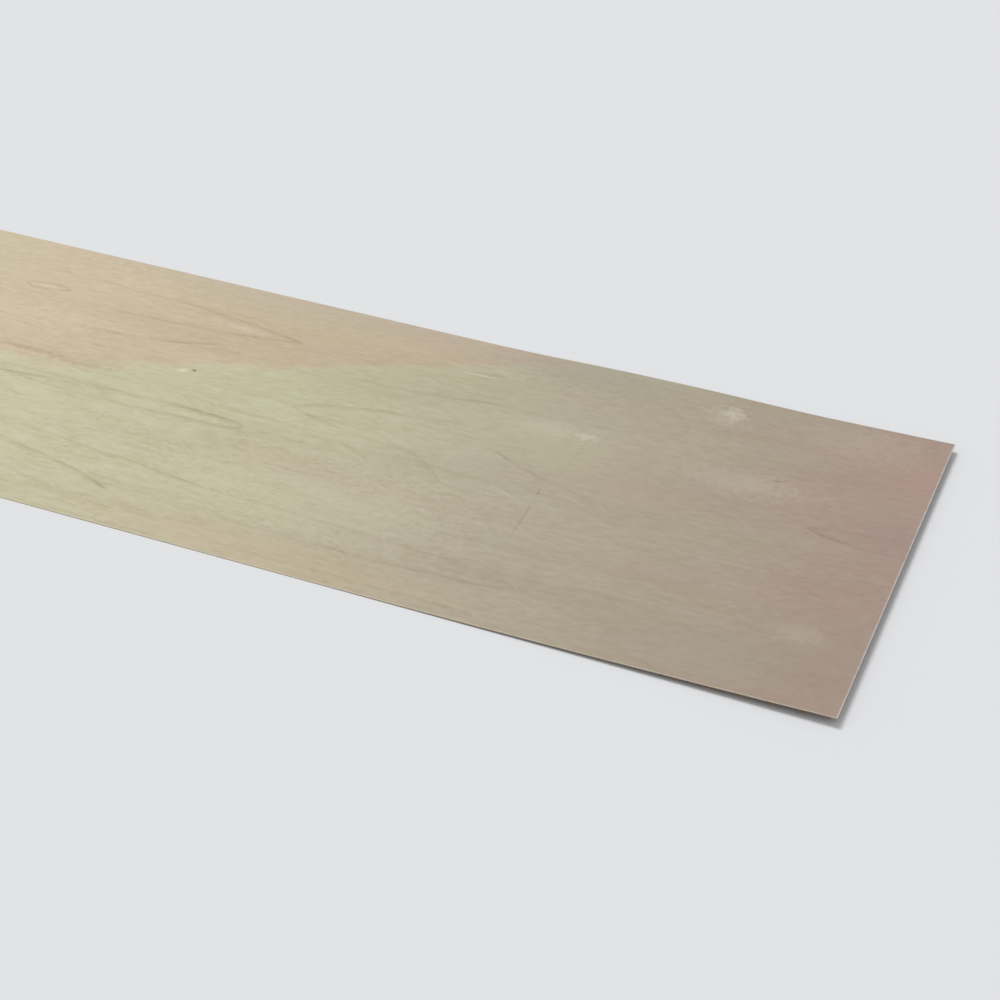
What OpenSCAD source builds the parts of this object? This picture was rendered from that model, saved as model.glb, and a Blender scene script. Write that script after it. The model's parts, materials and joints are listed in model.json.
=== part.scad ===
// Thin birch plywood sheet: one flat panel whose free end springs up in a gentle bend.
// Frame: X along the face grain, Y across the sheet, Z up, origin on the floor under the middle.

/* [Sheet] */
// Cut length along the face grain, measured along the bend
sheet_length = 1219.2; // [620:0.1:2440]
// Cut width across the face grain
sheet_width = 304.8; // [100:0.1:1220]
// Thickness of the pressed plies together
sheet_thickness = 0.4; // [0.4:0.1:6]

/* [Free end] */
// Height that the free end springs up off the floor
end_lift = 4; // [1:0.5:20]
// Distance along the floor over which the end leaves it
lift_run = 300; // [200:5:600]

/* [Hidden] */

// Strips that the bend is drawn with
bend_strips = 12;

// The underside of the bend is an arc that leaves the floor at a tangent
bend_radius = (lift_run * lift_run + end_lift * end_lift) / (2 * end_lift);
bend_angle = 2 * atan(end_lift / lift_run);
bend_length = bend_radius * bend_angle * PI / 180;

// The bend takes its share of the cut length, and the rest lies flat
flat_length = sheet_length - bend_length;
floor_length = flat_length + lift_run;
bend_start = flat_length - floor_length / 2;

// Part of the sheet that lies on the floor
module flat_run() {
    translate([-floor_length / 2, -sheet_width / 2, 0])
        cube([flat_length, sheet_width, sheet_thickness]);
}

// Part of the sheet that curves up: its section turned about a line across the sheet, far above it
module lifted_end() {
    translate([bend_start, 0, bend_radius])
        rotate([90, 90, 0])
            rotate_extrude(angle = bend_angle, $fn = bend_strips * 360 / bend_angle)
                translate([bend_radius - sheet_thickness, -sheet_width / 2])
                    square([sheet_thickness, sheet_width]);
}

module plywood_sheet() {
    color("#c0b496") {
        flat_run();
        lifted_end();
    }
}

plywood_sheet();
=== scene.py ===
# %% [markdown]
# # A thin birch plywood sheet
# The real object is raw stock: thin birch veneers pressed into one sheet, sanded and sawn to size.
# It lies on the floor, and because it is so thin its free end springs up a little.
# The lesson loads the measured solid, grows the wood's figure in shader nodes, presses a finer sheet
# over the solid with Geometry Nodes, and then sets up a plain studio and the camera.

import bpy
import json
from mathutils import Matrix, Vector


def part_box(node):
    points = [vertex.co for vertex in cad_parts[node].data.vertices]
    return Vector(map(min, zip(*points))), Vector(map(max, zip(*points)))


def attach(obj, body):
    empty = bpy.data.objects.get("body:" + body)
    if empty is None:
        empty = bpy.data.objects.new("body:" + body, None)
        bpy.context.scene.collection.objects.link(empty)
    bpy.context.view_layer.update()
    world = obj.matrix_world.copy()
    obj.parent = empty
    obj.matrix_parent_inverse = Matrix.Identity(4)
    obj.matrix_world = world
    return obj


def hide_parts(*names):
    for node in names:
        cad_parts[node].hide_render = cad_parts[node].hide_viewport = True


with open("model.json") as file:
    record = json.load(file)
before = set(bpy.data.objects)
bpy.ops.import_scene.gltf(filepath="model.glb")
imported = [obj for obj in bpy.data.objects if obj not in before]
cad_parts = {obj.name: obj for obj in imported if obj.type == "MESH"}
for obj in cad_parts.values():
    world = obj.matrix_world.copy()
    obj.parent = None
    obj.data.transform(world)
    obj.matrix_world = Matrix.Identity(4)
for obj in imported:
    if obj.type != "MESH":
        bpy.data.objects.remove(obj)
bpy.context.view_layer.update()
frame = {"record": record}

# %% [markdown]
# ## Sizes
# Every size could be typed in again here, but then the looks and the solid could drift apart.
# The solid's box and its two rest faces already hold all of them: the faces give the thickness and
# the middle of the flat run, and the box gives the length, the width and the lift of the free end.

# %% Read the sheet's sizes from the frame
import math

from mathutils import Vector

MM = 0.001

rest_faces = {mount["name"]: Vector(mount["pos_m"]) for mount in frame["record"]["mounts"]}
low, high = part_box("plywood_sheet")
thickness = rest_faces["top_face"].z - rest_faces["underside"].z
width = high.y - low.y
floor_length = high.x - low.x
lift = high.z - thickness
flat_length = 2 * (rest_faces["underside"].x - low.x)
run = floor_length - flat_length

# The free end follows an arc that leaves the floor at a tangent, so lift and run give its radius.
bend_radius = (run ** 2 + lift ** 2) / (2 * lift)
bend_angle = 2 * math.atan(lift / run)
cut_length = flat_length + bend_radius * bend_angle
print(f"cut {cut_length / MM:.1f} x {width / MM:.1f} x {thickness / MM:.2f} mm,",
      f"end lifts {lift / MM:.2f} mm over {run / MM:.0f} mm on a radius of {bend_radius:.2f} m")

# %% [markdown]
# ## Two helpers
# A colour is matched to the photograph as an sRGB hex value, but shaders work in linear light, so one
# function converts it. Node trees are long to write by hand, so a second function adds any node, sets
# it up and links it in one line.

# %% Colour and node helpers
import bpy


def linear(hex_colour):
    """An sRGB hex value as the linear colour, with alpha, that shaders work in."""
    channels = [int(hex_colour[k:k + 2], 16) / 255 for k in (1, 3, 5)]
    light = [c / 12.92 if c <= 0.04045 else ((c + 0.055) / 1.055) ** 2.4 for c in channels]
    return (*light, 1.0)


def add(tree, kind, inputs=(), output=0, **settings):
    """Add one node, set it up, fill its inputs by position or by name, and give one of its outputs."""
    node = tree.nodes.new(kind)
    for name, setting in settings.items():
        setattr(node, name, setting)
    pairs = inputs.items() if isinstance(inputs, dict) else enumerate(inputs)
    for key, value in pairs:
        if isinstance(value, bpy.types.NodeSocket):
            tree.links.new(value, node.inputs[key])
        else:
            node.inputs[key].default_value = value
    return node.outputs[output] if node.outputs else node


# Settings of a Mix node for colours: its input 0 is the amount, 6 the ground and 7 what is laid over it
OVER = {"data_type": "RGBA", "blend_type": "MIX", "output": 2}
TIMES = {"data_type": "RGBA", "blend_type": "MULTIPLY", "output": 2}
print("linear light of mid grey:", round(linear("#808080")[0], 3))

# %% [markdown]
# ## Face veneer: tone and grain
# The face is rotary peeled birch: the log turns against a knife and the veneer comes off like paper
# from a roll. To the eye that gives a pale cream ground, here turning pink and darker at one end, and
# fine fibres along the length. The darkening along the sheet is partly the wood's own colour and partly
# painted falloff of the light from the left. A photo of wood could be wrapped on, but it would repeat
# and hold someone else's light, so the wood is grown from noise that is stretched along the grain.

# %% Noise that is stretched along the grain
NOISE_MIDDLE = 0.5
# How far apart the sways of the grain lie, and how wide they are along and across
SWAY_EVERY = 40 * MM
SWAY = (9 * MM, 3 * MM, 0)


def streaks(tree, place, size_mm, seed, detail=2.0, dimensions="2D"):
    """Noise whose patches have about the given size in mm along the grain, across it and through it."""
    stretch = [1 / (mm * MM) for mm in size_mm] + [0.0] * (3 - len(size_mm))
    spread = add(tree, "ShaderNodeVectorMath", [place, stretch, (seed, seed, seed)],
                 operation="MULTIPLY_ADD")
    return add(tree, "ShaderNodeTexNoise", {"Vector": spread, "Scale": 1.0, "Detail": detail},
               output="Fac", noise_dimensions=dimensions)


def swayed(tree, place):
    """The place, shifted by a slow noise, so that what is drawn there sways like grown wood."""
    sway = add(tree, "ShaderNodeTexNoise", {"Vector": place, "Scale": 1 / SWAY_EVERY, "Detail": 2.0},
               output="Color", noise_dimensions="2D")
    shift = add(tree, "ShaderNodeVectorMath", [sway, (NOISE_MIDDLE, NOISE_MIDDLE, 0)],
                operation="SUBTRACT")
    return add(tree, "ShaderNodeVectorMath", [shift, SWAY, place], operation="MULTIPLY_ADD")


print(f"the grain sways by up to {SWAY[1] / 2 / MM:.1f} mm to each side, every {SWAY_EVERY / MM:.0f} mm")

# %% Tone along the sheet, partly painted falloff of light
# Place along the sheet from its middle in mm, and the colour there: the wood's tone, darkened towards
# the right end partly by painted falloff of the light from the left
TONES_AND_LIGHT_FALLOFF = [(-600, "#cec9a9"), (60, "#ccc8a8"), (220, "#c2bea0"),
         (360, "#b5ae97"), (470, "#a79d8a"), (600, "#a48e82")]
# The tones don't change along straight lines. Noise with patches of this size lets them drift.
DRIFT_MM = (160, 60)
DRIFT = 120 * MM
# Slow bands: their size, their strength, and each shade with the noise at which it is full
BAND_MM = (380, 30)
BAND_STRENGTH = 0.14
BAND_SHADES = [("#ecd6ca", 0.75), ("#e3e7cf", 0.25)]


def tone_and_painted_falloff(tree, place, seed):
    """Cream wood that turns pink and darker at one end, partly painted falloff of light, in slow bands, and
    the place along, drifted by noise.
    """
    along = add(tree, "ShaderNodeSeparateXYZ", [place], output="X")
    drift = streaks(tree, place, DRIFT_MM, seed + 1.3)
    along = add(tree, "ShaderNodeMath", [drift, DRIFT, along], operation="MULTIPLY_ADD")
    mean = DRIFT * NOISE_MIDDLE
    share = add(tree, "ShaderNodeMapRange", [along, low.x + mean, high.x + mean, 0.0, 1.0])
    ground = add(tree, "ShaderNodeValToRGB", {"Fac": share})
    stops = ground.node.color_ramp.elements
    for k, (x_mm, colour) in enumerate(TONES_AND_LIGHT_FALLOFF):
        where = (x_mm * MM - low.x) / floor_length
        # A new ramp already has two stops.
        stop = stops[k] if k < 2 else stops.new(where)
        stop.position = where
        stop.color = linear(colour)
    band = streaks(tree, place, BAND_MM, seed)
    for shade, full in BAND_SHADES:
        amount = add(tree, "ShaderNodeMapRange", [band, NOISE_MIDDLE, full, 0.0, BAND_STRENGTH],
                     interpolation_type="SMOOTHSTEP")
        ground = add(tree, "ShaderNodeMix", {0: amount, 6: ground, 7: linear(shade)}, **TIMES)
    return ground, along


print(len(TONES_AND_LIGHT_FALLOFF), "tones along the sheet, drifting by up to", round(DRIFT / 2 / MM), "mm either way")

# %% Threads, fibres, vessels and mottle
FIBRE_SHADE = linear("#d3c4aa")
# Size along and across the grain in mm, seed, detail, the noise at which the layer starts and at which
# it is full, strength, and whether the layer fades
GRAIN_LAYERS = {
    # Groups of fibres show as long faint threads, a few millimetres apart.
    "threads": ((90, 4.5), 5.5, 3.0, 0.38, 0.66, 0.15, True),
    # Real birch fibres are about 0.02 mm wide. They are drawn 1 mm wide, the finest that shows.
    "fibres": ((6, 1.1), 3.1, 4.0, 0.36, 0.72, 0.25, True),
    # Vessels cut lengthwise show as short dashes, a few millimetres long.
    "vessels": ((7, 0.6), 7.7, 1.0, 0.60, 0.76, 0.25, True),
    # Sanding leaves a faint mottle all over.
    "mottle": ((11, 4), 9.9, 5.0, 0.30, 0.70, 0.22, False),
}
# Layers fade towards the dark end and the far side: from place to place, and from strength to strength.
END_FADE = (330 * MM, 520 * MM, 1.0, 0.45)
FAR_FADE = (60 * MM, -40 * MM, 0.55, 1.15)
# They also fade where the grain dips out of the face, between two values of the noise.
DIP_MM = (45, 16)
DIP_NOISE = (0.36, 0.62)
LEFT_IN_DIPS = 0.30


def veneer_grain(tree, place, along, ground, seed):
    """Lay the grain's layers over the ground, and give the fibres for the roughness and the relief."""
    # Fibres that are the same all over would look brushed.
    across = add(tree, "ShaderNodeSeparateXYZ", [place], output="Y")
    lengthwise = add(tree, "ShaderNodeMapRange", [along, *END_FADE])
    crosswise = add(tree, "ShaderNodeMapRange", [across, *FAR_FADE])
    most = add(tree, "ShaderNodeMath", [lengthwise, crosswise], operation="MULTIPLY")
    dip = streaks(tree, place, DIP_MM, seed + 13.0)
    shown = add(tree, "ShaderNodeMapRange", [dip, *DIP_NOISE, LEFT_IN_DIPS, most])
    drawn = {}
    for name, (size_mm, own_seed, detail, start, full, strength, fades) in GRAIN_LAYERS.items():
        noise = streaks(tree, place, size_mm, seed + own_seed, detail)
        drawn[name] = add(tree, "ShaderNodeMapRange", [noise, start, full, 0.0, 1.0])
        amount = add(tree, "ShaderNodeMath", [drawn[name], strength], operation="MULTIPLY")
        if fades:
            amount = add(tree, "ShaderNodeMath", [amount, shown], operation="MULTIPLY")
        ground = add(tree, "ShaderNodeMix", {0: amount, 6: ground, 7: FIBRE_SHADE}, **TIMES)
    return ground, drawn["fibres"]


print("layers of the grain:", ", ".join(GRAIN_LAYERS))

# %% [markdown]
# ## Face veneer: red heart
# Birch has no true heartwood, but its core is often tinged red, with a fairly clear border. On this
# sheet the border runs along the grain and then swings off to the far edge, with pink wood on its far
# side and greener sapwood on its near side. A border could be painted by hand, but it is only a line,
# so each place is tinged by how far it lies from that line.

# %% Red heart and its border
# The border's place across before it wavers, where along the sheet it swings off, and how
HEART_BORDER = -7 * MM
HEART_SWING = 100 * MM
HEART_SLOPE = 0.56
SWING_ROUND = 30 * MM
WAVER_MM = (50, 14)
WAVER = 24 * MM
# Places along the sheet between which the tinge clears up, and the share of it before and after
HEART_CLEARS = (-260 * MM, 60 * MM, 0.25, 1.0)
# Colour, strength, and the distances past the border in mm where the tinge starts, is full and has faded,
# with the share that is left there
HEART_TINGES = [("#fce8e6", 0.75, -18, 0, 110, 0.9), ("#f5f8ee", 0.55, -6, -24, -110, 0.25)]


def red_heart(tree, place, ground, seed):
    """Pink on the far side of the border, greenish on the near side, both strongest close to it."""
    along = add(tree, "ShaderNodeSeparateXYZ", [place], output="X")
    across = add(tree, "ShaderNodeSeparateXYZ", [place], output="Y")
    past = add(tree, "ShaderNodeMath", [along, HEART_SWING], operation="SUBTRACT")
    past = add(tree, "ShaderNodeMath", [past, 0.0, SWING_ROUND], operation="SMOOTH_MAX")
    border = add(tree, "ShaderNodeMath", [past, HEART_SLOPE, HEART_BORDER], operation="MULTIPLY_ADD")
    waver = streaks(tree, place, WAVER_MM, seed + 41.0, detail=3.0)
    border = add(tree, "ShaderNodeMath", [waver, WAVER, border], operation="MULTIPLY_ADD")
    beyond = add(tree, "ShaderNodeMath", [across, border], operation="SUBTRACT")
    # Before the swing the border blurs and the tinge fades.
    clear = add(tree, "ShaderNodeMapRange", [along, *HEART_CLEARS], interpolation_type="SMOOTHSTEP")
    beyond = add(tree, "ShaderNodeMath", [beyond, clear], operation="MULTIPLY")
    for colour, strength, start, full, far, left in HEART_TINGES:
        rise = add(tree, "ShaderNodeMapRange", [beyond, start * MM, full * MM, 0.0, strength],
                   interpolation_type="SMOOTHSTEP")
        fall = add(tree, "ShaderNodeMapRange", [beyond, full * MM, far * MM, 1.0, left])
        amount = add(tree, "ShaderNodeMath", [rise, fall], operation="MULTIPLY")
        amount = add(tree, "ShaderNodeMath", [amount, clear], operation="MULTIPLY")
        ground = add(tree, "ShaderNodeMix", {0: amount, 6: ground, 7: linear(colour)}, **TIMES)
    return ground


print("the heart's border swings off", round(HEART_SWING / MM), "mm from the middle of the sheet")

# %% [markdown]
# ## Face veneer: growth rings
# The knife cuts the growth rings at a shallow angle, so each ring shows as a thin brown line that runs
# along the sheet, turns round in a nose and runs back, like a contour line on a map. Contours of a
# random height map would look alike but fall anywhere. Here each nose is placed one by one, with one node
# group that draws it: the line stands where the distance across equals the opening at that distance
# behind the tip. Late wood is darkest at its outer side, so the line is sharp outside and soft inside.

# %% The node group that draws one nose
LINE_SHARP = 1.2 * MM
LINE_SOFT = 6.5 * MM
LINE_FALL = 2.6

nose = bpy.data.node_groups.new("ring_nose", "ShaderNodeTree")
nose.interface.new_socket("Line", in_out="OUTPUT", socket_type="NodeSocketFloat")
for name in ("Place", "Tip"):
    nose.interface.new_socket(name, in_out="INPUT", socket_type="NodeSocketVector")
for name in ("Turn", "Opening", "Spread", "Bluntness", "Reach", "Left", "Right"):
    nose.interface.new_socket(name, in_out="INPUT", socket_type="NodeSocketFloat")
given = add(nose, "NodeGroupInput").node.outputs

from_tip = add(nose, "ShaderNodeVectorMath", [given["Place"], given["Tip"]], operation="SUBTRACT")
back_turn = add(nose, "ShaderNodeMath", [given["Turn"], -1.0], operation="MULTIPLY")
local = add(nose, "ShaderNodeVectorRotate", {"Vector": from_tip, "Angle": back_turn}, rotation_type="Z_AXIS")
behind = add(nose, "ShaderNodeSeparateXYZ", [local], output="X")
beside = add(nose, "ShaderNodeSeparateXYZ", [local], output="Y")
inside = add(nose, "ShaderNodeMath", [behind, 0.0], operation="MAXIMUM")
ahead = add(nose, "ShaderNodeMath", [behind, 0.0], operation="MINIMUM")
whole = add(nose, "ShaderNodeMath", [inside, given["Spread"]], operation="ADD")
share = add(nose, "ShaderNodeMath", [inside, whole], operation="DIVIDE")
share = add(nose, "ShaderNodeMath", [share, given["Bluntness"]], operation="POWER")
away = add(nose, "ShaderNodeMath", [beside], operation="ABSOLUTE")
away = add(nose, "ShaderNodeMath", [ahead, away], operation="SUBTRACT")
depth = add(nose, "ShaderNodeMath", [share, given["Opening"], away], operation="MULTIPLY_ADD")
rise = add(nose, "ShaderNodeMapRange", [depth, -LINE_SHARP, LINE_SHARP, 0.0, 1.0])
fall = add(nose, "ShaderNodeMapRange", [depth, LINE_SHARP / 2, LINE_SOFT, 1.0, 0.0])
fall = add(nose, "ShaderNodeMath", [fall, LINE_FALL], operation="POWER")
line = add(nose, "ShaderNodeMath", [rise, fall], operation="MULTIPLY")
fade = add(nose, "ShaderNodeMapRange", [behind, 0.0, given["Reach"], 1.0, 0.0],
           interpolation_type="SMOOTHSTEP")
side = add(nose, "ShaderNodeMapRange", [beside, -MM, MM, given["Right"], given["Left"]])
line = add(nose, "ShaderNodeMath", [line, fade], operation="MULTIPLY")
line = add(nose, "ShaderNodeMath", [line, side], operation="MULTIPLY")
add(nose, "NodeGroupOutput", [line])
print("ring_nose has", len(nose.nodes), "nodes")

# %% Where the noses lie
# Tip along and across in mm, turn of the opening in degrees (0 opens to the right, 180 to the left),
# opening and spread in mm, bluntness, reach in mm, and the strength of the branches that lie left and
# right when looking from the tip into the opening
NOSES = [
    (49, 91, 180, 6, 6, 0.7, 30, 0.7, 0.7),
    (15, 89, 0, 6, 6, 0.7, 30, 0.7, 0.7),
    (213, 94, 179, 34, 160, 0.8, 230, 0.6, 0.7),
    (170, 68, 180, 36, 60, 1.0, 150, 0.7, 0.0),
    (360, 78, 180, 30, 100, 1.0, 160, 0.6, 0.1),
    (242, 16, 2, 40, 90, 0.8, 150, 0.7, 0.6),
    (356, -28, 171, 60, 65, 1.0, 90, 0.25, 0.45),
    (368, 21, 0, 60, 80, 1.0, 80, 0.15, 0.7),
    (231, -22, 180, 7.5, 8, 0.6, 220, 0.5, 0.9),
    (66, -25, 1, 12, 60, 1.0, 130, 0.9, 0.5),
    (306, -22, 180, 25, 30, 0.9, 320, 0.0, 0.35),
    (430, -111, 178, 15, 40, 0.7, 290, 0.6, 0.4),
    (199, -119, 180, 60, 120, 1.0, 220, 0.0, 0.9),
    (245, -93, 180, 40, 200, 1.0, 170, 0.0, 0.7),
    (175, -132, 180, 45, 120, 1.0, 150, 0.0, 0.5),
    (420, -146, 180, 5, 10, 0.5, 300, 0.3, 0.5),
    (553, 16, 0, 16, 30, 0.9, 80, 0.3, 0.7),
    (462, 100, 180, 40, 60, 0.6, 160, 0.2, 0.2),
    (520, -60, 180, 30, 60, 0.7, 150, 0.2, 0.2),
    (-130, -64, 0, 46, 150, 0.8, 210, 0.4, 0.2),
    (-176, 104, 2, 28, 70, 0.7, 190, 0.2, 0.5),
    (-196, 100, 2, 16, 60, 0.8, 120, 0.3, 0.4),
    (-262, 8, 0, 36, 120, 0.6, 200, 0.4, 0.1),
    (-310, -118, -1, 22, 60, 0.9, 260, 0.4, 0.3),
    (-398, 84, 1, 44, 140, 0.8, 180, 0.1, 0.4),
    (-424, -24, 0, 26, 60, 0.6, 240, 0.4, 0.2),
    (-446, -20, 0, 12, 40, 0.8, 150, 0.2, 0.4),
    (-530, -96, 0, 38, 160, 0.9, 200, 0.3, 0.1),
    (-556, 44, -2, 30, 80, 0.8, 260, 0.2, 0.4),
]
# The lines break up in patches of this size, between two values of the noise.
BREAK_MM = (26, 9)
BREAK_NOISE = (0.34, 0.62)
LEFT_IN_BREAKS = 0.42


def ring_lines(tree, place, seed):
    """All noses of the list, with the darkest line winning where two meet, broken up by noise."""
    total = 0.0
    for x, y, turn, opening, spread, blunt, reach, left, right in NOSES:
        line = add(tree, "ShaderNodeGroup", node_tree=nose, inputs={
            "Place": place, "Tip": (x * MM, y * MM, 0), "Turn": math.radians(turn),
            "Opening": opening * MM, "Spread": spread * MM, "Bluntness": blunt, "Reach": reach * MM,
            "Left": left, "Right": right})
        total = add(tree, "ShaderNodeMath", [line, total], operation="MAXIMUM")
    patchy = streaks(tree, place, BREAK_MM, seed + 23.0, detail=3.0)
    patchy = add(tree, "ShaderNodeMapRange", [patchy, *BREAK_NOISE, LEFT_IN_BREAKS, 1.0])
    return add(tree, "ShaderNodeMath", [total, patchy], operation="MULTIPLY")


print(len(NOSES), "noses of growth rings")

# %% [markdown]
# ## Face veneer: marks of this sheet
# A sheet is told apart by its marks: pink and green patches, pale spots where the grain dips, a pin
# knot, short dark dashes and a scratch across the grain. They could be painted on a map, but a mark is
# only a soft spot with a place, a size and a colour, so a list of them and one loop do the work.

# %% Marks on the face
# Name, place along and across in mm, half length and half width in mm, turn in degrees, colour, strength
FACE_MARKS = [
    ("pink rim, far", 230, 150, 270, 36, 0, "#b4a494", 0.45),
    ("pale wood, left", -60, 48, 210, 38, 0, "#dccbb2", 0.24),
    ("dark corner, near", 588, -110, 66, 74, 0, "#968874", 0.42),
    ("grey rim, far", 385, 142, 80, 40, 0, "#928c7c", 0.44),
    ("pale wood, near", 302, -72, 110, 60, 0, "#d0c7ac", 0.22),
    ("pink end, far", 604, 96, 34, 34, 0, "#ab867a", 0.40),
    ("pink end, middle", 604, 24, 40, 30, 0, "#957c74", 0.40),
    ("pale corner, far", 562, 126, 54, 30, 0, "#b1a291", 0.30),
    ("pink patch, near", 500, -66, 70, 20, 3, "#a68c7f", 0.40),
    ("pink patch, middle", 462, 14, 52, 26, 0, "#ad927e", 0.32),
    ("pink rim, near", 300, -138, 150, 26, 0, "#c4a88c", 0.36),
    ("pale patch, middle", 411, 62, 9, 7, 0, "#cfc8b0", 0.45),
    ("pale patch, beside it", 388, 61, 30, 14, 4, "#c4bea6", 0.30),
    ("pale patch, far", 481, 129, 9, 10, 0, "#cdc7b6", 0.42),
    ("pale patch, round it", 478, 124, 20, 18, 0, "#bfb7a6", 0.30),
    ("pale patch, near", 575, -89, 20, 14, 0, "#b6aa98", 0.30),
    ("pale patch, right", 508, 50, 54, 20, 0, "#b4a996", 0.45),
    ("green patch, middle", 400, 36, 46, 34, 0, "#b2ac8a", 0.40),
    ("grey patch, near", 538, -124, 52, 32, 0, "#9a9885", 0.45),
    ("pale lens", 31, 90, 14, 4, 5, "#ddd0b4", 0.35),
    ("pale nose", 196, -22.5, 28, 4, 0, "#d6cdac", 0.25),
    ("pale nose, far", 170, 95, 30, 5, -4, "#d8ccb2", 0.25),
    ("brown streak", 72, 7.5, 38, 4.0, 0, "#a98966", 0.50),
    ("brown streak, lower", 106, 4, 30, 4.5, 2, "#a6916e", 0.45),
    ("pale line, far", 326, 107, 15, 1.5, 2, "#cfc9b0", 0.60),
    ("dash, far", 334, 111.5, 12, 1.2, 2, "#8f8064", 0.60),
    ("dash, right", 525, 61, 4.5, 1.0, 8, "#6f5d4e", 0.80),
    ("pale line, near", 520, -38, 50, 2.2, 0, "#b9af9d", 0.22),
    ("knot halo", 164.5, 25.5, 7, 3.5, 25, "#d8d2b6", 0.60),
    ("pin knot", 171, 29, 2.4, 1.6, -30, "#3f3428", 0.95),
    ("scratch across", 409.5, -42, 1.5, 32, 3, "#857a69", 0.34),
    ("scratch across, start", 407.5, -11.5, 0.9, 5, 4, "#746857", 0.50),
    ("scratch across, faint", 412, 30, 0.9, 50, -1, "#8f836f", 0.22),
    ("scratch along", 394, -23, 20, 1.0, -23, "#c9c1a9", 0.40),
    ("scratch along, faint", 428, -12, 16, 1.0, -21, "#c3bba4", 0.30),
]
# The grain tears the edges of a mark by a share of its size, and broad marks more than fine ones.
RAGGED_MM = (4, 5)
BROAD_TORN = 1.4
FINE_TORN = 0.5
FINE_HALF_MM = 3
# Share of its size within which a mark has its full strength
FULL_CORE = 0.1


def lay_marks(tree, place, ground, marks, seed):
    """Tint the ground with each mark of the list, with edges that the grain breaks up."""
    ragged = streaks(tree, place, RAGGED_MM, seed + 31.0, detail=5.0)
    for name, x, y, half_long, half_wide, turn, colour, strength in marks:
        spot = add(tree, "ShaderNodeMapping", {
            "Vector": place, "Location": (x * MM, y * MM, 0), "Rotation": (0, 0, math.radians(turn)),
            "Scale": (half_long * MM, half_wide * MM, 1)}, vector_type="TEXTURE")
        spot.node.label = name
        away = add(tree, "ShaderNodeVectorMath", [spot], output="Value", operation="LENGTH")
        torn = BROAD_TORN if min(half_long, half_wide) > FINE_HALF_MM else FINE_TORN
        away = add(tree, "ShaderNodeMath", [ragged, torn, away], operation="MULTIPLY_ADD")
        mean = torn * NOISE_MIDDLE
        amount = add(tree, "ShaderNodeMapRange", [away, 1.0 + mean, FULL_CORE + mean, 0.0, strength],
                     interpolation_type="SMOOTHSTEP")
        ground = add(tree, "ShaderNodeMix", {0: amount, 6: ground, 7: linear(colour)}, **OVER)
    return ground


print(len(FACE_MARKS), "marks on the face")

# %% [markdown]
# ## Face veneer: sawn rims and painted highlight
# The saw tears the last fibres at the rim of the face and leaves them pale and fuzzy, most of all on
# the ends, where it cuts across the grain. The pale strip is also partly a painted highlight of the rim
# catching the light. A chamfer would be too much for a sheet this thin, so a strip about a millimetre
# wide is paled along each edge.

# %% Pale torn fibres and a painted highlight along the rims
RIM_WIDE = 1.0 * MM
TUFT_EVERY = 2.5 * MM
# Axis that points at an edge, the edge's distance from the middle, and the colour and strength of its
# fuzz and painted highlight
RIM_FUZZ_AND_HIGHLIGHT = [("X", floor_length / 2, "#cac2be", 0.9), ("Y", width / 2, "#d0c3b4", 0.6)]


def rim_fuzz_and_highlight(tree, place, ground):
    """Pale the face along its ends and its long edges, for torn fibres and a painted highlight, in a strip
    with a ragged border.
    """
    torn = add(tree, "ShaderNodeTexNoise", {"Vector": place, "Scale": 1 / TUFT_EVERY}, output="Fac")
    for axis, half, colour, strength in RIM_FUZZ_AND_HIGHLIGHT:
        reach = add(tree, "ShaderNodeSeparateXYZ", [place], output=axis)
        reach = add(tree, "ShaderNodeMath", [reach], operation="ABSOLUTE")
        reach = add(tree, "ShaderNodeMath", [torn, RIM_WIDE, reach], operation="MULTIPLY_ADD")
        start, full = half - RIM_WIDE / 2, half + RIM_WIDE / 2
        rim = add(tree, "ShaderNodeMapRange", [reach, start, full, 0.0, strength])
        # The paled strip is partly torn fibres and partly a painted highlight where the rim catches the
        # light.
        ground = add(tree, "ShaderNodeMix", {0: rim, 6: ground, 7: linear(colour)}, **OVER)
    return ground


print("rims paled over about", round(RIM_WIDE / MM, 1), "mm")

# %% [markdown]
# ## The veneer materials
# Bare sanded birch is a matt surface: its roughness is about 0.6 and its index about 1.5. Sanding
# rubs the raised fibres smoother and leaves the low ones open, so roughness and relief both follow
# the fibres. The face and the back come from the same kind of log, so one function makes both. The
# back isn't the same piece of veneer, so its figure is turned end for end, with its own seed and none
# of the face's marks.

# %% How every wood here starts and ends
BIRCH_IOR = 1.5
BUMP_STRENGTH = 0.6


def bare_wood(name):
    """A new material with an emptied node tree, and the place on the sheet that its patterns read."""
    material = bpy.data.materials.new(name)
    material.use_nodes = True
    material.node_tree.nodes.clear()
    place = add(material.node_tree, "ShaderNodeTexCoord", output="Object")
    return material, material.node_tree, place


def finish_wood(tree, ground, fibre, roughness, relief):
    """Close a material with its colour, and with roughness and relief that follow the same fibres."""
    rough = add(tree, "ShaderNodeMapRange", [fibre, 0.0, 1.0, *roughness])
    bump = add(tree, "ShaderNodeBump", {"Height": fibre, "Distance": relief, "Strength": BUMP_STRENGTH},
               invert=True)
    wood = add(tree, "ShaderNodeBsdfPrincipled", {
        "Base Color": ground, "Roughness": rough, "IOR": BIRCH_IOR, "Normal": bump})
    add(tree, "ShaderNodeOutputMaterial", {"Surface": wood})


print("bare birch has an index of", BIRCH_IOR)

# %% Face and back materials
# Roughness of rubbed fibres and of open ones
SANDED_ROUGHNESS = (0.56, 0.72)
SANDED_RELIEF = 0.008 * MM
LATE_WOOD = linear("#d1c7b6")


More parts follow.
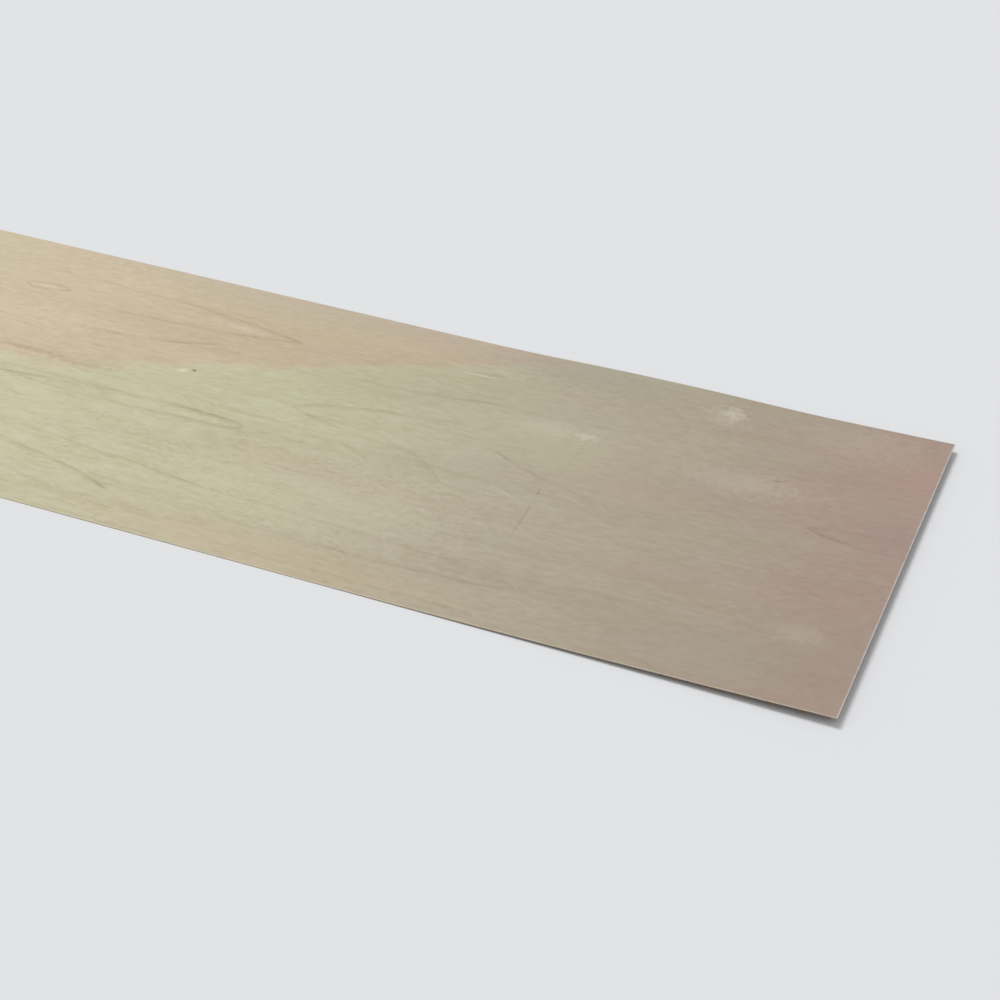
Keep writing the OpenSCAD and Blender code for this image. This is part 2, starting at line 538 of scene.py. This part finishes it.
def veneer_material(name, seed, marks, end_for_end):
    """Bare sanded veneer: tone with painted falloff of light, grain, red heart, rings, marks, and pale rims
    with a painted highlight.
    """
    material, tree, place = bare_wood(name)
    grain = swayed(tree, place)
    figure = grain
    if end_for_end:
        figure = add(tree, "ShaderNodeVectorMath", [grain, (-1, 1, 1)], operation="MULTIPLY")
    # The tone darkens towards the right end, partly the wood's colour and partly painted falloff of light.
    ground, along = tone_and_painted_falloff(tree, grain, seed)
    ground, fibre = veneer_grain(tree, grain, along, ground, seed)
    ground = red_heart(tree, figure, ground, seed)
    rings = ring_lines(tree, figure, seed)
    ground = add(tree, "ShaderNodeMix", {0: rings, 6: ground, 7: LATE_WOOD}, **TIMES)
    ground = lay_marks(tree, place, ground, marks, seed)
    # Pale rims: torn fibres, and a painted highlight where the edges catch the light.
    ground = rim_fuzz_and_highlight(tree, place, ground)
    finish_wood(tree, ground, fibre, SANDED_ROUGHNESS, SANDED_RELIEF)
    print(name, "has", len(tree.nodes), "nodes")
    return material


face_veneer = veneer_material("birch_veneer_rotary_peeled_sanded_face", seed=4.0, marks=FACE_MARKS,
                              end_for_end=False)
back_veneer = veneer_material("birch_veneer_rotary_peeled_sanded_back", seed=57.0, marks=[],
                              end_for_end=True)

# %% [markdown]
# ## The cut edges
# On a sawn edge the plies take turns: where a ply's fibres run along the edge the cut is smooth and
# pale, and where they point at the eye it shows end grain, which drinks in light and looks browner.
# Two materials are enough, because the sheet itself will say which ply is which.

# %% Edge materials
SAWN_ROUGHNESS = (0.72, 0.88)
SAWN_RELIEF = 0.02 * MM
FLECK_HIGH_MM = 0.2
FLECK_NOISE = (0.3, 0.7)


def edge_material(name, pale, dark, fleck_long_mm, seed):
    """A sawn ply edge, flecked from pale to dark by its cut fibres."""
    material, tree, place = bare_wood(name)
    size_mm = (fleck_long_mm, fleck_long_mm, FLECK_HIGH_MM)
    fleck = streaks(tree, place, size_mm, seed, detail=3.0, dimensions="3D")
    fleck = add(tree, "ShaderNodeMapRange", [fleck, *FLECK_NOISE, 0.0, 1.0])
    ground = add(tree, "ShaderNodeMix", {0: fleck, 6: linear(pale), 7: linear(dark)}, **OVER)
    finish_wood(tree, ground, fleck, SAWN_ROUGHNESS, SAWN_RELIEF)
    return material


side_grain = edge_material("birch_ply_sawn_side_grain", pale="#d3c6b0", dark="#b7a58c",
                           fleck_long_mm=9.0, seed=71.0)
end_grain = edge_material("birch_ply_sawn_end_grain", pale="#b09a82", dark="#8c735c",
                          fleck_long_mm=0.6, seed=83.0)
print("edge materials:", side_grain.name, end_grain.name)

# %% [markdown]
# ## Pressing the sheet
# The sheet's shape follows a rule, so Geometry Nodes make it. A flat grid of the cut size is rolled
# onto the bend, which keeps the length along the curve, and gets one slight swell, as a thin sheet
# often has. Then each ply is one extrusion along the normals, so that the edges show all three.
# A Solidify modifier could give the thickness too, but not a material for each ply.

# %% Inputs of the press, and its grid
# The photograph doesn't show the plies. Three is usual for a sheet this thin.
PLIES = 3
CELL = 4 * MM

press = bpy.data.node_groups.new("press_plywood_sheet", "GeometryNodeTree")
press.interface.new_socket("Sheet", in_out="OUTPUT", socket_type="NodeSocketGeometry")
press.is_modifier = True
sizes = {"Cut length": cut_length, "Width": width, "Ply thickness": thickness / PLIES,
         "Flat length": flat_length, "Bend radius": bend_radius, "Cell": CELL,
         "Edge wander": 0.12 * MM, "Swell": 1.6 * MM}
sockets = {}
for name in sizes:
    sockets[name] = press.interface.new_socket(name, in_out="INPUT", socket_type="NodeSocketFloat")
given = add(press, "NodeGroupInput").node.outputs

counts = []
for side in ("Cut length", "Width"):
    cells = add(press, "ShaderNodeMath", [given[side], given["Cell"]], operation="DIVIDE")
    counts.append(add(press, "ShaderNodeMath", [cells], operation="CEIL"))
grid = add(press, "GeometryNodeMeshGrid", [given["Cut length"], given["Width"], *counts])
print("grid of", math.ceil(cut_length / CELL), "by", math.ceil(width / CELL), "points")

# %% Let the saw wander
# The outline dips inwards along each edge. Counted in half sizes from the middle, the rim lies at 1 and
# -1, so a hair more than that, cut down to a whole number, is 0 everywhere but on the rim.
WANDERS_PER_METRE = 60.0
HAIR_MORE = 1.0001

spot = add(press, "GeometryNodeInputPosition")
dips = []
for axis, side in (("X", "Cut length"), ("Y", "Width")):
    value = add(press, "ShaderNodeSeparateXYZ", [spot], output=axis)
    half = add(press, "ShaderNodeMath", [given[side], 0.5], operation="MULTIPLY")
    reach = add(press, "ShaderNodeMath", [value, half], operation="DIVIDE")
    beyond = add(press, "ShaderNodeMath", [reach, HAIR_MORE], operation="MULTIPLY")
    rim = add(press, "ShaderNodeMath", [beyond], operation="TRUNC")
    waver = add(press, "ShaderNodeTexNoise", {"Vector": spot, "Scale": WANDERS_PER_METRE, "Detail": 4.0},
                output="Fac")
    dip = add(press, "ShaderNodeMath", [waver, given["Edge wander"]], operation="MULTIPLY")
    inward = add(press, "ShaderNodeMath", [rim, dip], operation="MULTIPLY")
    dips.append(add(press, "ShaderNodeMath", [inward, -1.0], operation="MULTIPLY"))
dip = add(press, "ShaderNodeCombineXYZ", dips)
sawn = add(press, "GeometryNodeSetPosition", {"Geometry": grid, "Offset": dip})
print("the saw wanders by up to", round(sizes["Edge wander"] / MM, 2), "mm")

# %% Roll the end onto the bend
# The distance past the flat run becomes an angle about the bend's centre.
x = add(press, "ShaderNodeSeparateXYZ", [spot], output="X")
y = add(press, "ShaderNodeSeparateXYZ", [spot], output="Y")
half = add(press, "ShaderNodeMath", [given["Cut length"], 0.5], operation="MULTIPLY")
gone = add(press, "ShaderNodeMath", [x, half], operation="ADD")
flat = add(press, "ShaderNodeMath", [gone, given["Flat length"]], operation="MINIMUM")
over = add(press, "ShaderNodeMath", [gone, flat], operation="SUBTRACT")
angle = add(press, "ShaderNodeMath", [over, given["Bend radius"]], operation="DIVIDE")
sine = add(press, "ShaderNodeMath", [angle], operation="SINE")
reach = add(press, "ShaderNodeMath", [sine, given["Bend radius"], flat], operation="MULTIPLY_ADD")
bent_x = add(press, "ShaderNodeMath", [reach, low.x], operation="ADD")
# The rise is the radius times 1 - cos. Written with the sine of the half angle, it keeps its digits.
half_angle = add(press, "ShaderNodeMath", [angle, 0.5], operation="MULTIPLY")
half_sine = add(press, "ShaderNodeMath", [half_angle], operation="SINE")
squared = add(press, "ShaderNodeMath", [half_sine, half_sine], operation="MULTIPLY")
diameter = add(press, "ShaderNodeMath", [given["Bend radius"], 2.0], operation="MULTIPLY")
bent_z = add(press, "ShaderNodeMath", [squared, diameter], operation="MULTIPLY")
print(f"the end turns up by {math.degrees(bend_angle):.2f} degrees")

# %% Raise one slow swell
# It lifts the far edge over the first part of the bend.
SWELL_PLACE = Vector((430 * MM, width / 2, 0))
SWELL_LONG = 120 * MM
SWELL_WIDE = 90 * MM

from_swell = add(press, "ShaderNodeVectorMath", [spot, SWELL_PLACE], operation="SUBTRACT")
shares = add(press, "ShaderNodeVectorMath", [from_swell, (SWELL_LONG, SWELL_WIDE, 1)], operation="DIVIDE")
away = add(press, "ShaderNodeVectorMath", [shares], output="Value", operation="LENGTH")
swell = add(press, "ShaderNodeMapRange", [away, 1.0, 0.0, 0.0, 1.0], interpolation_type="SMOOTHERSTEP")
raised = add(press, "ShaderNodeMath", [swell, given["Swell"], bent_z], operation="MULTIPLY_ADD")
rolled = add(press, "ShaderNodeCombineXYZ", [bent_x, y, raised])
back = add(press, "GeometryNodeSetPosition", {"Geometry": sawn, "Position": rolled})
print("swell of", round(sizes["Swell"] / MM, 1), "mm at the far edge")

# %% Press the plies
# Each ply is one extrusion from the ply below, and the back closes the first one.
WELD = 0.001 * MM

pressed, top, sides = back, True, []
for ply in range(PLIES):
    extruded = add(press, "GeometryNodeExtrudeMesh", {
        "Mesh": pressed, "Selection": top, "Offset Scale": given["Ply thickness"],
        "Individual": False}).node.outputs
    pressed, top = extruded["Mesh"], extruded["Top"]
    sides.append(extruded["Side"])
underside = add(press, "GeometryNodeFlipFaces", {"Mesh": back})
# Join Geometry takes both links in its one input.
both = add(press, "GeometryNodeJoinGeometry", [underside])
press.links.new(pressed, both.node.inputs[0])
welded = add(press, "GeometryNodeMergeByDistance", {"Geometry": both, "Distance": WELD})
print(PLIES, "plies of", round(thickness / PLIES / MM, 3), "mm")

# %% Dress the faces and the cut edges
# The grain turns with every ply: one that shows side grain on the long edges shows end grain on the ends.
# A face is on an end where its normal points more along the sheet than this.
FACES_END = 0.5

dressed = add(press, "GeometryNodeRealizeInstances", {"Geometry": welded})
dressed = add(press, "GeometryNodeSetMaterial", {"Geometry": dressed, "Material": back_veneer})
dressed = add(press, "GeometryNodeSetMaterial", {
    "Geometry": dressed, "Selection": top, "Material": face_veneer})
facing = add(press, "ShaderNodeSeparateXYZ", [add(press, "GeometryNodeInputNormal")], output="X")
turned = add(press, "ShaderNodeMath", [facing], operation="ABSOLUTE")
on_end = add(press, "ShaderNodeMath", [turned, FACES_END], operation="GREATER_THAN")
on_long = add(press, "ShaderNodeMath", [turned, FACES_END], operation="LESS_THAN")
for ply, side in enumerate(sides):
    woods = (side_grain, end_grain) if ply % 2 == 0 else (end_grain, side_grain)
    for where, wood in zip((on_long, on_end), woods):
        cut = add(press, "FunctionNodeBooleanMath", [side, where], operation="AND")
        dressed = add(press, "GeometryNodeSetMaterial", {
            "Geometry": dressed, "Selection": cut, "Material": wood})
add(press, "NodeGroupOutput", [dressed])
print("press_plywood_sheet has", len(press.nodes), "nodes")

# %% [markdown]
# ## From nodes to a plain mesh
# The modifier is evaluated once and its result kept as a mesh, because later steps move and export
# plain meshes. The faces are shaded smooth so that the bend shows no strips, and the sawn edges
# stay sharp.

# %% Make the sheet
SHARP_DEGREES = 30

bench = bpy.data.objects.new("press_bench", bpy.data.meshes.new("press_bench"))
bpy.context.scene.collection.objects.link(bench)
modifier = bench.modifiers.new("press", "NODES")
modifier.node_group = press
for name, size in sizes.items():
    modifier[sockets[name].identifier] = size
evaluated = bench.evaluated_get(bpy.context.evaluated_depsgraph_get())
sheet_mesh = bpy.data.meshes.new_from_object(evaluated)
sheet_mesh.name = "birch_plywood_sheet"
# The grid node brings an empty slot of its own, which nothing uses.
sheet_mesh.materials.pop(index=list(sheet_mesh.materials).index(None))
bench.modifiers.remove(modifier)
bpy.data.objects.remove(bench)

sheet_mesh.shade_smooth()
sheet_mesh.set_sharp_from_angle(angle=math.radians(SHARP_DEGREES))
sheet = bpy.data.objects.new("birch_plywood_sheet", sheet_mesh)
bpy.context.scene.collection.objects.link(sheet)
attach(sheet, "root")
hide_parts("plywood_sheet")
print("sheet:", len(sheet_mesh.polygons), "faces,", [m.name for m in sheet_mesh.materials])

# %% [markdown]
# ## Floor and studio light
# A plain pale floor lets the sheet's outline and its shadow read clearly. In the photograph the light
# comes from behind on the left, and the lifted end throws its shadow to the front and right. A softbox
# close by would leave a pool of light on the floor, so the lamp is a very soft sun, which lights the
# whole floor evenly, and a pale sky fills the shadows.

# %% Floor
# Matt paper scatters light evenly, so the eye sees the sheet's shadow on it but no reflection.
STUDIO_GREY = linear("#e1e2e4")
PAPER_ROUGHNESS = 0.9
PAPER_GLOSS = 0.2
# Half the floor's width in metres
FLOOR_HALF = 60.0

floor_mesh = bpy.data.meshes.new("studio_floor")
corners = [(-FLOOR_HALF, -FLOOR_HALF, 0), (FLOOR_HALF, -FLOOR_HALF, 0),
           (FLOOR_HALF, FLOOR_HALF, 0), (-FLOOR_HALF, FLOOR_HALF, 0)]
floor_mesh.from_pydata(corners, [], [(0, 1, 2, 3)])
floor = bpy.data.objects.new("studio_floor", floor_mesh)
bpy.context.scene.collection.objects.link(floor)

floor_paper = bpy.data.materials.new("matt_pale_paper")
floor_paper.use_nodes = True
paper = floor_paper.node_tree.nodes["Principled BSDF"].inputs
paper["Base Color"].default_value = STUDIO_GREY
paper["Roughness"].default_value = PAPER_ROUGHNESS
paper["Specular IOR Level"].default_value = PAPER_GLOSS
floor_mesh.materials.append(floor_paper)
print("floor of", 2 * FLOOR_HALF, "m across")

# %% Sky and lamp
# The sky lights the sheet, and the eye sees the floor's grey in its place.
SKY_LIGHT = 0.56
SUN_FROM = Vector((-0.75, 0.55, 1.2))
SUN_STRENGTH = 1.75
SUN_DEGREES = 25.0

world = bpy.data.worlds.new("pale_studio")
bpy.context.scene.world = world
world.use_nodes = True
world.node_tree.nodes.clear()
ray = add(world.node_tree, "ShaderNodeLightPath").node.outputs
seen = add(world.node_tree, "ShaderNodeMath", [ray["Is Camera Ray"], ray["Is Glossy Ray"]],
           operation="MAXIMUM")
seen = add(world.node_tree, "ShaderNodeMath", [seen, ray["Is Transmission Ray"]], operation="MAXIMUM")
sky = add(world.node_tree, "ShaderNodeBackground", {"Color": (1, 1, 1, 1), "Strength": SKY_LIGHT})
backdrop = add(world.node_tree, "ShaderNodeBackground", {"Color": STUDIO_GREY, "Strength": 1.0})
either = add(world.node_tree, "ShaderNodeMixShader", [seen, sky, backdrop])
add(world.node_tree, "ShaderNodeOutputWorld", {"Surface": either})

sun_data = bpy.data.lights.new("soft_sun", "SUN")
sun_data.energy = SUN_STRENGTH
sun_data.angle = math.radians(SUN_DEGREES)
sun = bpy.data.objects.new("soft_sun", sun_data)
bpy.context.scene.collection.objects.link(sun)
sun.rotation_euler = (-SUN_FROM).to_track_quat("-Z", "Y").to_euler()
print("soft sun of", SUN_STRENGTH, "from", [round(v, 2) for v in SUN_FROM])

# %% [markdown]
# ## Camera
# The camera could be set by eye, but then the corners would land some pixels off. The photograph's
# camera was worked out from the sheet's edges and corners in the picture. It looks down at about 30
# degrees along a line that swings a little to the left, and it is tipped slightly. The turns are
# applied in that order: swing about the upright, tilt down, then roll about the view.

# %% Camera
from mathutils import Matrix

CAMERA_PLACE = Vector((713.3, -966.7, 570.7)) * MM
LENS_MM = 75.0
SENSOR_MM = 36.0
# Turns in degrees
SWING = 18.95
TILT_DOWN = 29.92
ROLL = 4.53

camera_data = bpy.data.cameras.new("photo_camera")
camera_data.lens = LENS_MM
camera_data.sensor_width = SENSOR_MM
camera = bpy.data.objects.new("photo_camera", camera_data)
bpy.context.scene.collection.objects.link(camera)
turns = (Matrix.Rotation(math.radians(SWING), 4, "Z")
         @ Matrix.Rotation(math.radians(90 - TILT_DOWN), 4, "X")
         @ Matrix.Rotation(math.radians(ROLL), 4, "Z"))
camera.matrix_world = Matrix.Translation(CAMERA_PLACE) @ turns
bpy.context.scene.camera = camera
bpy.context.scene.view_settings.view_transform = "Standard"
print("camera at", [round(v, 3) for v in CAMERA_PLACE], "with a lens of", LENS_MM, "mm")

# %% [markdown]
# ## Last step
# The looks must not change the sheet's size. This last cell only imports json.

# %% Last cell
import json
